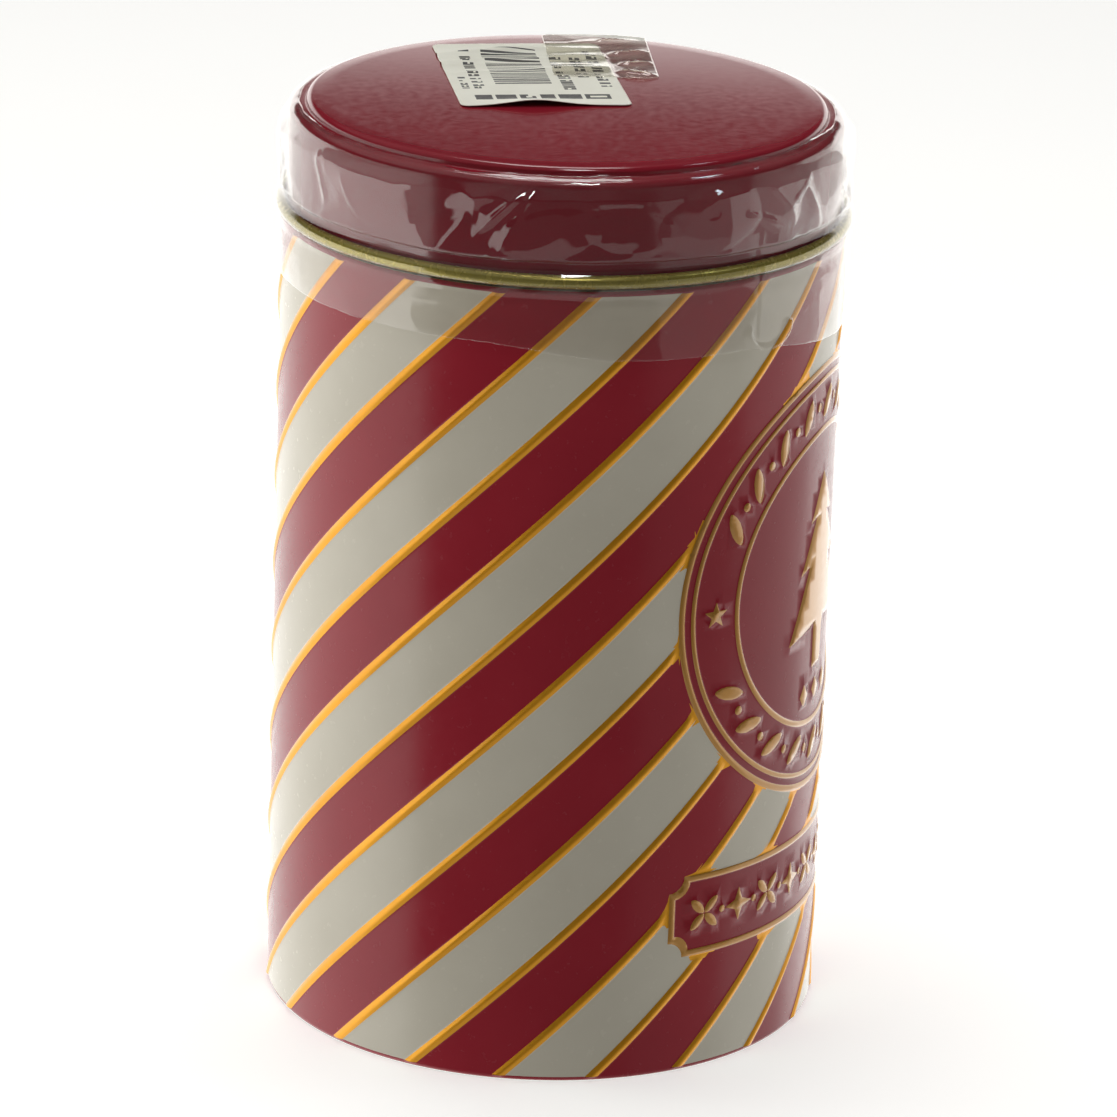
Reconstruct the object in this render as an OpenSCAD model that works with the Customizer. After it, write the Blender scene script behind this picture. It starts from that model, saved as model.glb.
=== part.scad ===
// Round slip-lid tin: rolled sheet body with an embossed badge and banner,
// clamped base, drawn lid with an outward curl, slit sealing tape, price label.
// Origin at the centre of the foot ring, +Z up, badge facing -Y. Millimetres.

/* [Body] */
// Outside diameter of the body wall
body_d = 75; // [60:1:90]
// Height of the visible body wall, up to the lid's curl
body_h = 110; // [80:1:140]
// Thickness of the tinplate sheet
sheet_t = 0.3; // [0.2:0.05:0.5]
// Width of the flat ring the tin stands on
foot_w = 1.2; // [0.8:0.1:2]
// How far the neck is stepped in from the wall
neck_step = 1.2; // [0.8:0.1:2]

/* [Lid] */
// Height of the lid, from the curl's underside to the raised panel
lid_h = 15.5; // [10:0.5:25]
// Diameter of the raised panel
panel_d = 69; // [50:1:72]
// Height of the raised panel over the shoulder
panel_rise = 1.5; // [0.5:0.1:3]
// Outside diameter of the curl's tube
curl_d = 1.8; // [1.2:0.1:2.6]
// Radial clearance between lid and neck
lid_gap = 0.2; // [0.1:0.05:0.5]

/* [Badge and banner] */
// Height of the badge's centre
badge_z = 64.2; // [40:0.1:80]
// Radius of the badge's outer ring, measured round the wall
badge_r = 29.4; // [15:0.1:34]
// Radius of the badge's second ring
badge_r2 = 27.7; // [14:0.1:33]
// Radius of the badge's inner ring
badge_r3 = 20.6; // [8:0.1:28]
// Half length of the banner, measured round the wall
banner_l = 29.1; // [15:0.1:34]
// Height of the banner's lower edge
banner_z0 = 17; // [5:0.1:30]
// Height of the banner's upper edge
banner_z1 = 27.6; // [15:0.1:40]
// Width of an embossed line
line_w = 0.9; // [0.4:0.1:2]
// Height of the embossing over the wall
emboss = 0.3; // [0.1:0.05:0.6]

/* [Tape and label] */
// Thickness of the clear sealing tape
tape_t = 0.12; // [0.05:0.01:0.3]
// Height where the tape's lower edge lies on the wall
tape_z0 = 101; // [90:0.5:106]
// Length of the price label
label_l = 33.2; // [20:0.1:50]
// Width of the price label
label_w = 22.7; // [15:0.1:40]
// Thickness of the price label
label_t = 0.12; // [0.08:0.01:0.3]
// Length of the clear film over the label
film_l = 23; // [10:0.5:40]
// Width of the clear film over the label
film_w = 14.2; // [8:0.1:30]
// Direction the label and film were stuck on, about +Z
stick_angle = -72.1; // [-180:0.1:180]

/* [Hidden] */
$fn = 96;
eps = 0.02;
R = body_d / 2;
t = sheet_t;
foot_bend = 0.8;
foot_r1 = R - foot_bend;
foot_r0 = foot_r1 - foot_w;
fold_top = 1.8;
neck_r = R - neck_step;
step_r = 0.9;
step_z = body_h - 1.0;
neck_z = step_z + step_r + 0.3;
lid_r = neck_r + lid_gap + t;
lid_top = body_h + lid_h;
shoulder_z = lid_top - panel_rise;
corner_r = 1.2;
panel_r = panel_d / 2;
panel_bend = 0.8;
curl_r = curl_d / 2;
curl_x = lid_r - t + curl_r;
curl_z = body_h + curl_r;
mouth_r = 0.7;
mouth_x = neck_r - mouth_r;
mouth_z = shoulder_z - t - 0.05 - mouth_r;
rim_r = foot_r0 - foot_bend + t + 0.1 + t;
panel_in = 30.7;
leave_up = 40;
leave_down = -12;
label_x = -5.1;
label_y = 10.6;
label_turn = 8.5;
film_x = 4.1;
film_y = 21.6;
film_turn = 5;
film_t = 0.08;

// Quarter of a bent sheet about a centre; q picks the quadrant, 1 to 4.
module bend(x, z, r_out, r_in, q) {
  sx = (q == 1 || q == 4) ? 0 : -r_out - 1;
  sz = (q == 1 || q == 2) ? 0 : -r_out - 1;
  translate([x, z])
    intersection() {
      difference() {
        circle(r = r_out);
        circle(r = r_in);
      }
      translate([sx, sz]) square([r_out + 1, r_out + 1]);
    }
}

// Upright strip of sheet: outer radius, bottom and top.
module upright(r_out, z0, z1, thick = t) {
  translate([r_out - thick, z0]) square([thick, z1 - z0]);
}

// Level strip of sheet: radii and underside.
module level(r0, r1, z, thick = t) {
  translate([r0, z]) square([r1 - r0, thick]);
}

// Rolled edge left open between two directions, in degrees.
module rolled(x, z, r_out, r_in, open0, open1) {
  far = r_out * 8;
  mid = (open0 + open1) / 2;
  translate([x, z])
    difference() {
      circle(r = r_out);
      circle(r = r_in);
      polygon([[0, 0],
               [far * cos(open0), far * sin(open0)],
               [far * cos(mid), far * sin(mid)],
               [far * cos(open1), far * sin(open1)]]);
    }
}

// Point on the unrolled wall, seen square on from the front.
function front(s, z) = [R * sin(s / R * 180 / PI), z];
function ring_pts(rho) = [for (i = [0:47]) front(rho * cos(i * 7.5), badge_z + rho * sin(i * 7.5))];
function star_pts(s, z, r) = [for (i = [0:9])
  front(s + (i % 2 == 0 ? r : r * 0.42) * sin(i * 36), z + (i % 2 == 0 ? r : r * 0.42) * cos(i * 36))];
function notch_pts(l, z0, z1, n) = concat(
  [for (a = [0:30:90]) front(-l + n * cos(a), z0 + n * sin(a))],
  [for (a = [0:30:90]) front(-l + n * sin(a), z1 - n * cos(a))],
  [for (a = [0:30:90]) front(l - n * cos(a), z1 - n * sin(a))],
  [for (a = [0:30:90]) front(l - n * sin(a), z0 + n * cos(a))]);
half_tree = [[4.2, 7.6], [2.2, 8], [6.8, 0.8], [4, 1.5], [9.4, -8.4], [1.7, -7], [1.7, -13.4]];
tree = concat([[0, 14]], half_tree, [for (i = [6:-1:0]) [-half_tree[i][0], half_tree[i][1]]]);
tree_pts = [for (p = tree) front(p[0], badge_z + p[1] + 0.4)];

module ring_line(rho) {
  difference() {
    polygon(ring_pts(rho + line_w / 2));
    polygon(ring_pts(rho - line_w / 2));
  }
}

module banner_line() {
  difference() {
    polygon(notch_pts(banner_l + line_w / 2, banner_z0 - line_w / 2, banner_z1 + line_w / 2, 2.2));
    polygon(notch_pts(banner_l - line_w / 2, banner_z0 + line_w / 2, banner_z1 - line_w / 2, 2.2));
  }
}

module emblem() {
  ring_line(badge_r);
  ring_line(badge_r2);
  ring_line(badge_r3);
  banner_line();
  polygon(tree_pts);
  polygon(star_pts(-24.15, badge_z, 1.9));
  polygon(star_pts(24.15, badge_z, 1.9));
}

// Emblem raised from the front of the wall, bonded into half the sheet.
module relief() {
  intersection() {
    rotate([90, 0, 0])
      linear_extrude(height = R + 5) emblem();
    rotate_extrude()
      translate([R - t / 2, 5]) square([t / 2 + emboss, body_h - 10]);
    translate([-R, -R - 5, 0]) cube([2 * R, R - 10, body_h]);
  }
}

module wall_profile() {
  bend(foot_r0, foot_bend, foot_bend, foot_bend - t, 3);
  upright(foot_r0 - foot_bend + t, foot_bend, fold_top - 0.2);
  level(foot_r0, foot_r1, 0);
  bend(foot_r1, foot_bend, foot_bend, foot_bend - t, 4);
  upright(R, foot_bend, step_z);
  bend(R - step_r, step_z, step_r, step_r - t, 1);
  bend(neck_r + 0.3, neck_z, 0.3 + t, 0.3, 3);
  upright(neck_r, neck_z, mouth_z);
  rolled(mouth_x, mouth_z, mouth_r, mouth_r - t, 240, 350);
}

module body_wall() {
  color([0.5, 0.1, 0.14]) {
    difference() {
      union() {
        rotate_extrude() wall_profile();
        relief();
        // inside layers of the lock seam
        intersection() {
          rotate_extrude() upright(R - t / 2, 4, body_h - 3, t * 2);
          translate([-2, 0, 0]) cube([4, R, body_h]);
        }
      }
      // outside line where the lock seam closes
      translate([1.95, R - 0.15, 3]) cube([0.15, 1, body_h - 6]);
    }
  }
}

module base_disc() {
  color([0.72, 0.62, 0.3])
    rotate_extrude() {
      upright(rim_r, 0.4, fold_top - 0.1);
      bend(rim_r - 0.75, fold_top - 0.1, 0.75, 0.45, 1);
      level(panel_in + 0.8, rim_r - 0.75, fold_top + 0.35);
      polygon([[panel_in, fold_top - 0.35], [panel_in + 0.8, fold_top + 0.35],
               [panel_in + 0.8, fold_top + 0.65], [panel_in, fold_top - 0.05]]);
      level(0, panel_in, fold_top - 0.35);
    }
}

module lid_shell() {
  color([0.55, 0.1, 0.15])
    rotate_extrude() {
      level(0, panel_r - panel_bend, lid_top - t);
      bend(panel_r - panel_bend, lid_top - panel_bend, panel_bend, panel_bend - t, 1);
      upright(panel_r, shoulder_z + 0.3, lid_top - panel_bend);
      bend(panel_r + 0.3, shoulder_z + 0.3, 0.3 + t, 0.3, 3);
      level(panel_r + 0.3, lid_r - corner_r, shoulder_z - t);
      bend(lid_r - corner_r, shoulder_z - corner_r, corner_r, corner_r - t, 1);
      upright(lid_r, curl_z, shoulder_z - corner_r);
      rolled(curl_x, curl_z, curl_r, curl_r - t, 100, 172);
    }
}

// Where a straight run of tape, touching the curl in direction a, meets a radius.
function meet_z(r, a, d) = curl_z + (d - (r - curl_x) * cos(a)) / sin(a);
function touch(a, d) = [curl_x + d * cos(a), curl_z + d * sin(a)];
tape_in = curl_r + 0.03;
tape_out = tape_in + tape_t;

function arc(x, z, r, a0, a1, n = 8) = [for (i = [0:n])
  [x + r * cos(a0 + (a1 - a0) * i / n), z + r * sin(a0 + (a1 - a0) * i / n)]];

module seal_tape_upper() {
  cz = shoulder_z - corner_r;
  cx = lid_r - corner_r;
  r_in = lid_r + eps;
  r_out = r_in + tape_t;
  start = panel_r + 0.35;
  outside = concat([[start, shoulder_z + eps + tape_t]],
                   arc(cx, cz, corner_r + eps + tape_t, 90, 0),
                   [[r_out, meet_z(r_out, leave_up, tape_out)]],
                   arc(curl_x, curl_z, tape_out, leave_up, leave_down));
  inside = concat(arc(curl_x, curl_z, tape_in, leave_down, leave_up),
                  [[r_in, meet_z(r_in, leave_up, tape_in)]],
                  arc(cx, cz, corner_r + eps, 0, 90),
                  [[start, shoulder_z + eps]]);
  color([0.8, 0.8, 0.78, 0.35])
    rotate_extrude() polygon(concat(outside, inside));
}

module seal_tape_lower() {
  r_in = R + eps;
  z_meet = meet_z(r_in, leave_down, tape_in);
  color([0.8, 0.8, 0.78, 0.35])
    rotate_extrude()
      difference() {
        polygon([[r_in, tape_z0],
                 [r_in + tape_t, tape_z0],
                 [r_in + tape_t, meet_z(r_in + tape_t, leave_down, tape_out)],
                 touch(leave_down, tape_out),
                 touch(leave_down, tape_in),
                 [r_in, z_meet]]);
        // the slit that frees the lid
        translate([R, curl_z - 0.5]) square([5, 5]);
      }
}

// Rectangle with round corners, centred.
module plate(l, w, r) {
  square([l - 2 * r, w], center = true);
  square([l, w - 2 * r], center = true);
  for (x = [-1, 1], y = [-1, 1])
    translate([x * (l / 2 - r), y * (w / 2 - r)]) circle(r = r);
}

module label_place(grow = 0) {
  rotate(stick_angle)
    translate([label_x, label_y])
      rotate(label_turn)
        plate(label_w + 2 * grow, label_l + 2 * grow, 1.2 + grow);
}

module film_place() {
  intersection() {
    rotate(stick_angle)
      translate([film_x, film_y])
        rotate(film_turn)
          plate(film_w, film_l, 0.6);
    circle(r = panel_r - panel_bend);
  }
}

module price_label() {
  color([0.9, 0.89, 0.82])
    translate([0, 0, lid_top + eps])
      linear_extrude(height = label_t) label_place();
}

module label_film() {
  low = lid_top + eps;
  high = low + label_t + eps;
  color([0.85, 0.85, 0.82, 0.3]) {
    translate([0, 0, low])
      linear_extrude(height = film_t)
        difference() {
          film_place();
          label_place(0.1);
        }
    translate([0, 0, low])
      linear_extrude(height = high - low + film_t)
        difference() {
          intersection() {
            film_place();
            label_place(0.25);
          }
          label_place(0.1);
        }
    translate([0, 0, high])
      linear_extrude(height = film_t)
        intersection() {
          film_place();
          label_place(0.25);
        }
  }
}

body_wall();
base_disc();
lid_shell();
seal_tape_upper();
seal_tape_lower();
price_label();
label_film();
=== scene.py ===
"""Slip-lid tin: embossed striped body, drawn lid, creased clear tape, price label."""
import math

import bpy
import numpy as np
from mathutils import Matrix, Vector
from mathutils.geometry import delaunay_2d_cdt


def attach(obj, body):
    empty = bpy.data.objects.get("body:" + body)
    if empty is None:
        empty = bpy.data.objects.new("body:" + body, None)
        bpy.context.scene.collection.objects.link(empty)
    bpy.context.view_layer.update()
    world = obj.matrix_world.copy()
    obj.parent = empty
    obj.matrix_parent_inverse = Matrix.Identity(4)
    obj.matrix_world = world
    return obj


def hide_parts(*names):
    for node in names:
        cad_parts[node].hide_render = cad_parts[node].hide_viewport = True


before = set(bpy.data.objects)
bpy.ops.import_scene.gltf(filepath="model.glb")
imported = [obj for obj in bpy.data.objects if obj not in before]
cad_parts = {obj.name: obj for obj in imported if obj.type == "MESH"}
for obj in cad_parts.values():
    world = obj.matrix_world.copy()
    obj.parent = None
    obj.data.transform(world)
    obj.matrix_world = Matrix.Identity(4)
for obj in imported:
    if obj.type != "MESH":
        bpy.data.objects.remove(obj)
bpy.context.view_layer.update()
MM = 0.001

# ---------------------------------------------------------------- sizes, in mm
R = 37.5              # outside of the body wall
SHEET = 0.3           # tinplate
Z_FOOT = 0.8          # where the foot bend starts
Z_STEP = 109.0        # where the neck step starts
SEAM = math.pi * R    # the side seam, at the back
PRINT_END = SEAM - 1.2
BEAD_STEP = 12.375    # bead spacing, measured upwards
BEAD_Z = 65.2         # a bead crosses the badge's middle line here
BEAD_W = 0.62         # half width of a painted bead
BEAD_FOOT = 0.85      # half width of a raised bead where it meets the wall
PRESS = 0.3           # how far beads, rings and outlines stand out
SLOPE = 0.2           # width of the sloping side of a ring or outline
BADGE_Z = 64.2        # height of the badge's middle
RINGS = ((29.4, 0.45), (27.7, 0.34), (20.6, 0.4))  # radius and half width of each line
BANNER = (29.1, 17.0, 27.6)                        # half length, lower and upper edge
NOTCH = 2.2           # radius bitten out of the banner's corners
LINE_W = 0.45         # half width of the banner's outline
NECK_R = 36.3         # outside of the neck
STEP_R = 0.9          # bend from the wall in to the neck
MOUTH = (35.6, 122.95)  # centre of the curl round the mouth, as radius and height
LID_TOP = 125.5       # top of the raised panel
SHOULDER = 124.0      # top of the lid's shoulder
LID_R = 36.8          # outside of the lid's skirt
PANEL_BEND = 33.7     # where the panel starts to bend down
CURL = (37.4, 110.9)  # centre of the curl at the lid's lower edge


# ---------------------------------------------------------------- mesh helpers
def mesh_object(name, verts, faces, slots=None, which=None, smooth=True):
    """A mesh from points in mm; which gives each face's material number."""
    me = bpy.data.meshes.new(name)
    me.from_pydata([tuple(float(c) * MM for c in v) for v in verts], [], faces)
    me.validate()
    me.update()
    obj = bpy.data.objects.new(name, me)
    bpy.context.scene.collection.objects.link(obj)
    for m in slots or []:
        me.materials.append(m)
    if which is not None:
        me.polygons.foreach_set("material_index", np.asarray(which, np.int32))
    me.polygons.foreach_set("use_smooth", [smooth] * len(me.polygons))
    return obj


def arc(cx, cz, r, a0, a1, n):
    """n + 1 points of a circle arc in a profile, angles in degrees."""
    out = []
    for i in range(n + 1):
        a = math.radians(a0 + (a1 - a0) * i / n)
        out.append((cx + r * math.cos(a), cz + r * math.sin(a)))
    return out


def smoothstep(x, lo, hi):
    t = np.clip((x - lo) / (hi - lo), 0, 1)
    return t * t * (3 - 2 * t)


# ---------------------------------------------------------------- the artwork
def almond(cx, cz, length, width, turn, n=7):
    """Leaf outline, pointed at both ends, turned by degrees."""
    t = math.radians(turn)
    pts = []
    for k in range(2 * n):
        u = k / n
        x = length / 2 * math.cos(math.pi * u)
        y = width / 2 * math.sin(math.pi * u) * abs(math.sin(math.pi * u)) ** 0.3
        pts.append((cx + x * math.cos(t) - y * math.sin(t), cz + x * math.sin(t) + y * math.cos(t)))
    return pts


def star(cx, cz, r, points=5, inner=0.42, turn=0.0):
    pts = []
    for i in range(2 * points):
        a = math.radians(90 + turn + i * 180 / points)
        q = r if i % 2 == 0 else r * inner
        pts.append((cx + q * math.cos(a), cz + q * math.sin(a)))
    return pts


def disc(cx, cz, r, n=14):
    turns = [2 * math.pi * i / n for i in range(n)]
    return [(cx + r * math.cos(a), cz + r * math.sin(a)) for a in turns]


def notched(half, z0, z1, n):
    """Banner outline with a quarter circle bitten out of each corner."""
    pts = []
    for sx, sz, flip in ((-1, z0, 0), (1, z0, 1), (1, z1, 0), (-1, z1, 1)):
        up = 1 if sz == z0 else -1
        steps = [math.radians(a) for a in range(0, 91, 15)]
        if not flip:
            steps = steps[::-1]
        for a in steps:
            pts.append((sx * (half - n * math.cos(a)), sz + up * n * math.sin(a)))
    return pts


def densify(pts, step, closed=True):
    out = []
    m = len(pts)
    for i in range(m if closed else m - 1):
        a, b = pts[i], pts[(i + 1) % m]
        k = max(1, int(math.ceil(math.hypot(b[0] - a[0], b[1] - a[1]) / step)))
        for j in range(k):
            out.append((a[0] + (b[0] - a[0]) * j / k, a[1] + (b[1] - a[1]) * j / k))
    if not closed:
        out.append(pts[-1])
    return out


def shapes():
    """Raised gold shapes as (outline, height, width of the sloping edge)."""
    found = []
    half_tree = [(0, 14), (4.2, 7.6), (2.2, 8), (6.8, 0.8), (4, 1.5), (9.4, -8.4), (1.7, -7), (1.7, -13.4)]
    tree = half_tree + [(-x, z) for x, z in half_tree[:0:-1]]
    found.append(([(x, z + BADGE_Z + 0.4) for x, z in tree], 0.36, 0.55))
    mid = 24.15
    for side in (-1, 1):
        found.append((star(side * mid, BADGE_Z, 1.9), 0.3, 0.3))
    for half in (0, 1):
        for k in range(9):
            a = math.radians(90 + (k - 4) * 15.5) * (1 if half == 0 else -1)
            x, z = mid * math.cos(a), BADGE_Z + mid * math.sin(a)
            tangent = math.degrees(a) + 90
            found.append((almond(x, z, 5.0, 1.9, tangent + 52), 0.28, 0.4))
            if k < 8:
                b = a + math.radians(7.75) * (1 if half == 0 else -1)
                found.append((disc(mid * math.cos(b), BADGE_Z + mid * math.sin(b), 0.62), 0.25, 0.3))
    for x in (-4.2, 0, 4.2):
        found.append(([(x - 1.3, 47.9), (x, 46.3), (x + 1.3, 47.9), (x, 49.5)], 0.24, 0.35))
    zc = (BANNER[1] + BANNER[2]) / 2
    for k in range(-4, 5):
        x = k * 6.0
        if k % 2 == 0:
            for turn in (45, 135, 225, 315):
                t = math.radians(turn)
                petal = almond(x + 1.55 * math.cos(t), zc + 1.55 * math.sin(t), 2.9, 1.3, turn)
                found.append((petal, 0.26, 0.35))
        else:
            found.append((star(x, zc, 2.4, 4, 0.4), 0.26, 0.35))
        if k < 4:
            found.append((disc(x + 3.0, zc, 0.5), 0.22, 0.25))
    return found


SHAPES = [(np.array(p), h, e) for p, h, e in shapes()]


def polygon_distance(s, z, poly):
    """Signed distance to an outline, positive inside, for arrays of points."""
    best = np.full(s.shape, 1e9)
    inside = np.zeros(s.shape, bool)
    m = len(poly)
    for i in range(m):
        ax, az = poly[i]
        bx, bz = poly[(i + 1) % m]
        dx, dz = bx - ax, bz - az
        t = np.clip(((s - ax) * dx + (z - az) * dz) / (dx * dx + dz * dz), 0, 1)
        best = np.minimum(best, np.hypot(s - ax - t * dx, z - az - t * dz))
        if az != bz:
            inside ^= ((az > z) != (bz > z)) & (s < ax + dx * (z - az) / dz)
    return np.where(inside, best, -best)


BANNER_LINE = np.array(notched(*BANNER, NOTCH))


def fields(s, z):
    """Distances that both the colours and the relief are made from."""
    rho = np.hypot(s, z - BADGE_Z)
    band = polygon_distance(s, z, BANNER_LINE)
    u = (z - s - BEAD_Z) / BEAD_STEP
    bead = np.abs(u - np.round(u)) * BEAD_STEP / math.sqrt(2)
    stripe = np.floor(u).astype(int) % 2
    return rho, band, bead, stripe


def relief(s, z):
    """Height of the pressed pattern over the wall, in mm."""
    rho, band, bead, _ = fields(s, z)
    clear = np.minimum(rho - RINGS[0][0], -band)
    keep = smoothstep(clear, 0.7, 2.0) * smoothstep(SEAM - np.abs(s), 1.2, 2.4)
    h = PRESS * (1 - np.clip(bead / BEAD_FOOT, 0, 1) ** 2) ** 2 * keep
    for r, w in RINGS:
        h = np.maximum(h, PRESS * (1 - np.clip(np.abs(rho - r) / (w + SLOPE), 0, 1) ** 2) ** 2)
    h = np.maximum(h, PRESS * (1 - np.clip(np.abs(band) / (LINE_W + SLOPE), 0, 1) ** 2) ** 2)
    for poly, height, edge in SHAPES:
        lo, hi = poly.min(0) - 0.5, poly.max(0) + 0.5
        near = (s > lo[0]) & (s < hi[0]) & (z > lo[1]) & (z < hi[1])
        if near.any():
            d = polygon_distance(s[near], z[near], poly)
            h[near] = np.maximum(h[near], height * smoothstep(d, -0.25, edge))
    groove = -0.12 * (1 - np.clip((SEAM - np.abs(s)) / 0.35, 0, 1)) ** 2
    return h + groove


def colour(s, z):
    """0 red stripe, 1 white stripe, 2 gold, 3 badge and banner field, 4 bare seam."""
    rho, band, bead, stripe = fields(s, z)
    out = np.where(stripe == 1, 0, 1)
    out[bead < BEAD_W] = 2
    # short gold ties where a bead runs into an outline
    clear = np.minimum(rho - RINGS[0][0] - RINGS[0][1], -band - LINE_W)
    out[(clear < 1.0) & (bead < BEAD_W + (1.0 - clear) * 0.9)] = 2
    out[rho < RINGS[0][0]] = 3
    out[band > 0] = 3
    for r, w in RINGS:
        out[np.abs(rho - r) < w] = 2
    out[np.abs(band) < LINE_W] = 2
    for poly, _, _ in SHAPES:
        lo, hi = poly.min(0), poly.max(0)
        near = (s > lo[0]) & (s < hi[0]) & (z > lo[1]) & (z < hi[1])
        if near.any():
            d = polygon_distance(s[near], z[near], poly)
            sub = out[near]
            sub[d > 0] = 2
            out[near] = sub
    out[np.abs(s) > PRINT_END] = 4
    return out


def wall_sheet():
    """Triangles of the unrolled wall, with edges along every colour and relief line."""
    pts, edges, taken = [], [], {}

    def add(p):
        key = (round(p[0], 3), round(p[1], 3))
        if key not in taken:
            taken[key] = len(pts)
            pts.append(key)
        return taken[key]

    def chain(line, closed):
        ids = [add(p) for p in line]
        for a, b in zip(ids, ids[1:] + (ids[:1] if closed else [])):
            if a != b:
                edges.append((a, b))

    cols = int(round(2 * SEAM / 1.7))
    across = [-SEAM + 2 * SEAM * i / cols for i in range(cols + 1)]
    rows = 60
    upward = [Z_FOOT + (Z_STEP - Z_FOOT) * i / rows for i in range(rows + 1)]
    chain([(s, Z_FOOT) for s in across], False)
    chain([(s, Z_STEP) for s in across], False)
    for s in (SEAM, PRINT_END, SEAM - 0.35, SEAM - 2.0, SEAM - 2.4):
        for side in (-1, 1):
            chain([(side * s, z) for z in upward], False)
    for r, w in RINGS:
        for dr in (-w - SLOPE, -w, 0, w, w + SLOPE):
            n = int(2 * math.pi * r / 1.1)
            chain(disc(0, BADGE_Z, r + dr, n), True)
    for grow in (-LINE_W - SLOPE, -LINE_W, 0, LINE_W, LINE_W + SLOPE):
        chain(densify(notched(BANNER[0] + grow, BANNER[1] - grow, BANNER[2] + grow, NOTCH), 1.4), True)
    for poly, _, edge in SHAPES:
        chain(densify([tuple(p) for p in poly], 1.2), True)
        mid = poly.mean(0)
        span = np.ptp(poly, axis=0).min() / 2
        if span > 1.0:
            shrink = 1 - min(0.5, edge / span)
            chain(densify([tuple(mid + (p - mid) * shrink) for p in poly], 1.2), True)
    first = int(math.ceil((Z_FOOT - SEAM - BEAD_Z) / BEAD_STEP)) - 1
    last = int(math.floor((Z_STEP + SEAM - BEAD_Z) / BEAD_STEP)) + 1
    for k in range(first, last + 1):
        for d in (-BEAD_FOOT, -BEAD_W, -0.3, 0, 0.3, BEAD_W, BEAD_FOOT):
            b = BEAD_Z + k * BEAD_STEP + d * math.sqrt(2)
            s0, s1 = max(-PRINT_END, Z_FOOT - b), min(PRINT_END, Z_STEP - b)
            if s1 - s0 < 0.5:
                continue
            s = np.linspace(s0, s1, max(2, int((s1 - s0) / 1.15) + 1))
            rho, band, _, _ = fields(s, s + b)
            run = []
            for si, ok in zip(s, (rho > RINGS[0][0] - 0.2) & (band < 0.2)):
                if ok:
                    run.append((si, si + b))
                elif run:
                    chain(run, False)
                    run = []
            if len(run) > 1:
                chain(run, False)
    grid = np.array([(s, z) for s in across[1:-1] for z in upward[1:-1]])
    rho, band, bead, _ = fields(grid[:, 0], grid[:, 1])
    away = (bead > 1.3) | (rho < RINGS[0][0] - 1) | (band > 1)
    for r, w in RINGS:
        away &= np.abs(rho - r) > w + 0.6
    away &= np.abs(band) > LINE_W + 0.6
    away &= np.abs(grid[:, 0]) < SEAM - 3
    for p in grid[away]:
        add(tuple(p))
    v2, _, f2, _, _, _ = delaunay_2d_cdt([Vector(p) for p in pts], edges, [], 0, 1e-4)
    flat = np.array([(v.x, v.y) for v in v2])
    tris = [tuple(f) for f in f2 if len(f) == 3]
    return flat, np.array(tris)


def wrap(flat, h):
    a = flat[:, 0] / R
    return np.stack([(R + h) * np.sin(a), -(R + h) * np.cos(a), flat[:, 1]], -1)


flat, tris = wall_sheet()


# ---------------------------------------------------------------- materials
def tree(name):
    m = bpy.data.materials.new(name)
    m.use_nodes = True
    nodes = m.node_tree.nodes
    return m, nodes, m.node_tree.links, nodes["Principled BSDF"]


def add_noise(nodes, links, scale, detail=4.0, rough=0.55, stretch=None):
    """Noise over the object's own coordinates; scale is per metre."""
    coord = nodes.new("ShaderNodeTexCoord")
    tex = nodes.new("ShaderNodeTexNoise")
    tex.inputs["Scale"].default_value = scale
    tex.inputs["Detail"].default_value = detail
    tex.inputs["Roughness"].default_value = rough
    if stretch:
        mapping = nodes.new("ShaderNodeMapping")
        mapping.inputs["Scale"].default_value = stretch
        links.new(coord.outputs["Object"], mapping.inputs["Vector"])
        links.new(mapping.outputs["Vector"], tex.inputs["Vector"])
    else:
        links.new(coord.outputs["Object"], tex.inputs["Vector"])
    return tex


def add_ramp(nodes, links, source, stops):
    ramp = nodes.new("ShaderNodeValToRGB")
    while len(ramp.color_ramp.elements) > 1:
        ramp.color_ramp.elements.remove(ramp.color_ramp.elements[-1])
    ramp.color_ramp.elements[0].position = stops[0][0]
    ramp.color_ramp.elements[0].color = (*stops[0][1], 1)
    for pos, col in stops[1:]:
        e = ramp.color_ramp.elements.new(pos)
        e.color = (*col, 1)
    links.new(source, ramp.inputs["Fac"])
    return ramp


def add_range(nodes, links, source, lo, hi):
    r = nodes.new("ShaderNodeMapRange")
    r.inputs["From Min"].default_value = 0.3
    r.inputs["From Max"].default_value = 0.7
    r.inputs["To Min"].default_value = lo
    r.inputs["To Max"].default_value = hi
    links.new(source, r.inputs["Value"])
    return r


def lacquer(name, dark, light, rough=(0.2, 0.28), metallic=0.0, ior=1.39, grain=900, bump=0.012,
            coat=0.0, mottle=60):
    """Printed tinplate: soft mottling, fine orange peel, slightly uneven gloss."""
    m, nodes, links, bsdf = tree(name)
    broad = add_noise(nodes, links, mottle, 5)
    ramp = add_ramp(nodes, links, broad.outputs["Fac"], [(0.3, dark), (0.7, light)])
    links.new(ramp.outputs["Color"], bsdf.inputs["Base Color"])
    fine = add_noise(nodes, links, grain, 3)
    worn = add_range(nodes, links, fine.outputs["Fac"], *rough)
    links.new(worn.outputs["Result"], bsdf.inputs["Roughness"])
    bsdf.inputs["Metallic"].default_value = metallic
    bsdf.inputs["IOR"].default_value = ior
    bsdf.inputs["Coat Weight"].default_value = coat
    bsdf.inputs["Coat Roughness"].default_value = 0.08
    if bump:
        b = nodes.new("ShaderNodeBump")
        b.inputs["Strength"].default_value = bump
        b.inputs["Distance"].default_value = 0.0002
        links.new(fine.outputs["Fac"], b.inputs["Height"])
        links.new(b.outputs["Normal"], bsdf.inputs["Normal"])
    return m


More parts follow.
